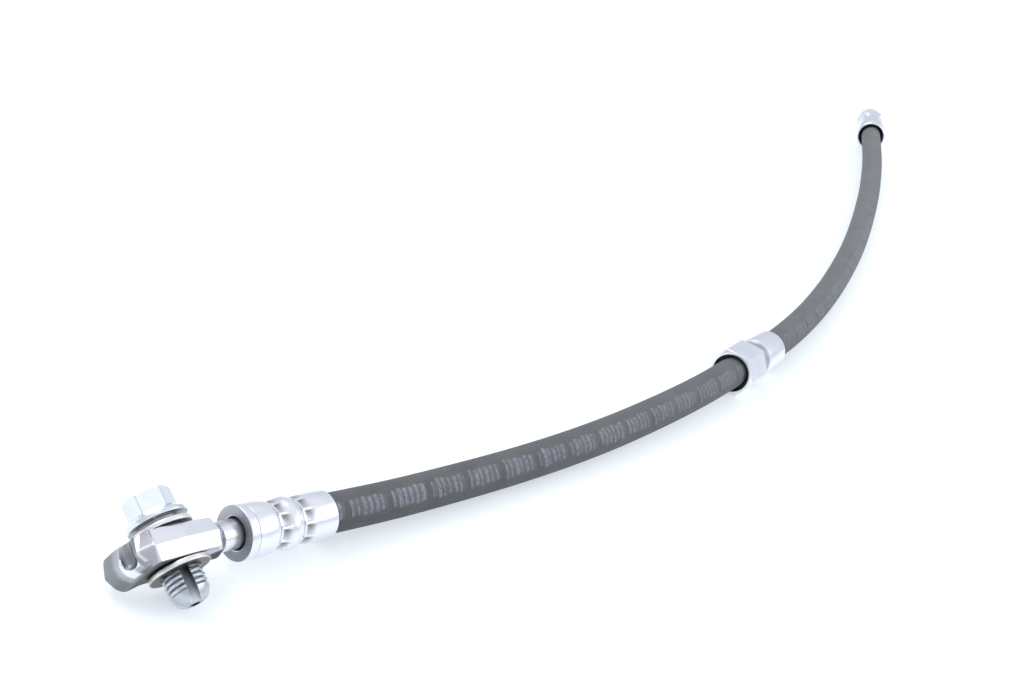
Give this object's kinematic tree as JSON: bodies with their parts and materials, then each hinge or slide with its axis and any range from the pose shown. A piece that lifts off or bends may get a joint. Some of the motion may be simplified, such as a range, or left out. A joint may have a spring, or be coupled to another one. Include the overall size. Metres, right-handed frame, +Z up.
{
  "type": "brake hose",
  "caption": "Flexible brake hose with a banjo eye, hollow bolt and seal washers at one end, a female pipe fitting at the other and a hexagonal support sleeve between them.",
  "frame": {"origin": "on the surface the hose lies on, below the middle of the fittings' outline", "axes": "+X along the hose from the banjo end to the pipe end, +Z up"},
  "size_m": [0.695, 0.0827, 0.0226],
  "materials": {
    "zinc_steel": "bright zinc plated",
    "bolt_steel": "zinc plated",
    "washer": "soft matt",
    "hose_rubber": "matt extruded",
    "liner_rubber": "matt",
    "braid": "braided textile"
  },
  "bodies": {
    "root": {"banjo_body": "zinc_steel", "banjo_bolt": "bolt_steel", "seal_washer_upper": "washer", "seal_washer_lower": "washer", "banjo_ferrule": "zinc_steel", "support_sleeve": "zinc_steel", "end_ferrule": "zinc_steel", "end_fitting": "zinc_steel", "hose_liner": "liner_rubber", "hose_braid_inner": "braid", "hose_middle_layer": "liner_rubber", "hose_braid_outer": "braid", "hose_cover": "hose_rubber"}
  },
  "joints": []
}
